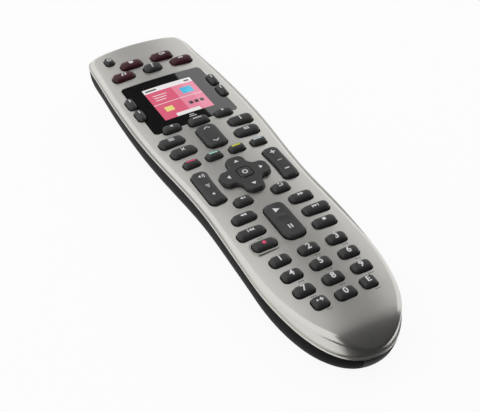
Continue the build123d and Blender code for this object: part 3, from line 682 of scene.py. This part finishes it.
def make_screen():
    """A generic page of blocks on the lit display, with its right half drawn paler as a painted reflection on
    the glass.
    """
    window = nodes["screen_window"]
    left = -page_side
    right = page_side
    split = page_split_x
    header_foot = page_head - header_height
    mark_left, mark_right = [left + x for x in header_mark_x]
    level_left, level_right = [right - x for x in header_level_x]
    header_sign_y = page_head - header_sign_top
    mark_low = (mark_left, page_head - header_mark_foot)
    level_low = (level_left, page_head - header_level_foot)
    footer_head = page_foot + footer_height
    sheets = [
        ("page", (left, page_foot), (right, page_head), screen_pink, page_lift),
        # right half of the page, paler: a painted reflection on the glass
        ("page_right_painted_reflection", (split, page_foot), (right, page_head), screen_reflection_pink, half_lift),
        ("header", (left, header_foot), (right, page_head), screen_white, block_lift),
        ("footer", (-footer_side, page_foot), (footer_side, footer_head), screen_white, block_lift),
        ("block_cyan", cyan_low, cyan_high, screen_cyan, block_lift),
        ("block_yellow", yellow_low, yellow_high, screen_yellow, block_lift),
        ("divider", (left, divider_y), (right, divider_y + line_width), screen_white, block_lift),
        ("mark", mark_low, (mark_right, header_sign_y), screen_grey, sign_lift),
        ("level", level_low, (level_right, header_sign_y), screen_grey, sign_lift),
    ]
    for number, y in enumerate(line_heights):
        end = (line_end_x - number, y + line_width * line_share)
        sheets.append((f"line_{number}", (line_x, y), end, screen_white, block_lift))
    for number in range(square_count):
        x = square_x + square_pitch * number
        sheets.append((f"square_{number}", (x, square_low), (x + square_width, square_high), screen_grey,
                       block_lift))
    for name, low, high, material, lift in sheets:
        sheet_on("screen_" + name, low, high, window, material, lift)
    bars = [bar(0, y, width, window_bar_height) for y, width in window_bars]
    print_on("window_bars", bars, window, white_print, "case")


# Setting

def seen_or_mirrored(tree, share):
    """A value of share for rays from the camera, from gloss and through glass, and zero for all others."""
    path = tree.nodes.new("ShaderNodeLightPath")
    total = path.outputs["Is Camera Ray"]
    for other in ("Is Glossy Ray", "Is Transmission Ray"):
        added = tree.nodes.new("ShaderNodeMath")
        added.operation = "MAXIMUM"
        tree.links.new(total, added.inputs[0])
        tree.links.new(path.outputs[other], added.inputs[1])
        total = added.outputs[0]
    scaled = tree.nodes.new("ShaderNodeMath")
    scaled.operation = "MULTIPLY"
    scaled.inputs[1].default_value = share
    tree.links.new(total, scaled.inputs[0])
    return scaled.outputs[0]


def flat_piece(name, corners, material):
    """A staged polygon: the floor, or a card of the studio."""
    mesh = bpy.data.meshes.new(name)
    mesh.from_pydata(corners, [], [list(range(len(corners)))])
    piece = bpy.data.objects.new(name, mesh)
    bpy.context.scene.collection.objects.link(piece)
    piece.data.materials.append(material)
    return piece


def make_floor():
    """Plain white floor that keeps the object's soft shadow."""
    material, tree, shader = new_material("floor_white")
    shader.inputs["Base Color"].default_value = (floor_grey, floor_grey, floor_grey, 1)
    shader.inputs["Roughness"].default_value = floor_roughness
    glow = tree.nodes.new("ShaderNodeEmission")
    mix = tree.nodes.new("ShaderNodeMixShader")
    tree.links.new(seen_or_mirrored(tree, floor_glow_share), mix.inputs["Fac"])
    tree.links.new(shader.outputs[0], mix.inputs[1])
    tree.links.new(glow.outputs[0], mix.inputs[2])
    tree.links.new(mix.outputs[0], tree.nodes["Material Output"].inputs["Surface"])
    corners = [(-1, -1), (1, -1), (1, 1), (-1, 1)]
    flat_piece("floor", [(x * floor_reach, y * floor_reach, 0) for x, y in corners], material)


def make_cards():
    """Dark cards that only gloss shows: over the middle line, over the tail and round the tail's front."""
    material, tree, shader = new_material("card_dark")
    shader.inputs["Base Color"].default_value = (card_grey, card_grey, card_grey, 1)
    left, right = card_front_x
    front = [(left, card_front_y, 0), (right, card_front_y, 0), (right, card_front_y, card_height),
             (left, card_front_y, card_height)]
    low = [(left, card_low_y, card_low_height), (right, card_low_y, card_low_height),
           (right, card_front_y, card_low_height), (left, card_front_y, card_low_height)]
    cards = {"card_middle": [(x, y, card_height) for x, y in card_middle],
             "card_tail": [(x, y, card_height) for x, y in card_tail], "card_front": front,
             "card_low": low}
    for name, corners in cards.items():
        card = flat_piece(name, corners, material)
        card.visible_camera = False
        card.visible_diffuse = False
        card.visible_transmission = False
        card.visible_shadow = False


def make_world():
    """Even pale light, with a white backdrop where it is seen or mirrored."""
    world = bpy.data.worlds.new("studio")
    bpy.context.scene.world = world
    world.use_nodes = True
    tree = world.node_tree
    lit = tree.nodes["Background"]
    lit.inputs["Color"].default_value = [*world_colour, 1]
    lit.inputs["Strength"].default_value = world_light
    backdrop = tree.nodes.new("ShaderNodeBackground")
    backdrop.inputs["Color"].default_value = (1, 1, 1, 1)
    backdrop.inputs["Strength"].default_value = backdrop_light
    mix = tree.nodes.new("ShaderNodeMixShader")
    tree.links.new(seen_or_mirrored(tree, 1.0), mix.inputs["Fac"])
    tree.links.new(lit.outputs[0], mix.inputs[1])
    tree.links.new(backdrop.outputs[0], mix.inputs[2])
    tree.links.new(mix.outputs[0], tree.nodes["World Output"].inputs["Surface"])


def add_lamp(name, place, size, power):
    """A square soft lamp that looks at the object's middle, and that gloss doesn't show."""
    light = bpy.data.lights.new(name, "AREA")
    light.size = size
    light.energy = power
    lamp = bpy.data.objects.new(name, light)
    lamp.location = place
    lamp.rotation_euler = (-Vector(place)).to_track_quat("-Z", "Y").to_euler()
    lamp.visible_glossy = False
    bpy.context.scene.collection.objects.link(lamp)


def make_camera():
    """Camera at the photograph's place."""
    lens = bpy.data.cameras.new("camera")
    lens.lens = camera_lens
    lens.sensor_width = sensor_width
    lens.sensor_fit = "HORIZONTAL"
    camera = bpy.data.objects.new("camera", lens)
    camera.location = [value * mm for value in camera_place]
    camera.rotation_euler = [math.radians(value) for value in camera_turn]
    bpy.context.scene.collection.objects.link(camera)
    bpy.context.scene.camera = camera


make_shell()
paint(nodes["bottom_housing"], black_shell)
paint(nodes["battery_cover"], black_shell)
paint(nodes["screen_window"], glass)
paint(nodes["direction_pad"], charcoal)
paint(nodes["centre_key"], charcoal)
for node, finish in other_finishes.items():
    paint(nodes[node], finish)
make_keys()
make_face_marks()
make_screen()
make_floor()
make_cards()
make_world()
make_camera()
add_lamp("lamp_left", lamp_left_place, lamp_left_size, lamp_left_power)
add_lamp("lamp_right", lamp_right_place, lamp_right_size, lamp_right_power)
bpy.context.scene.view_settings.view_transform = "Standard"
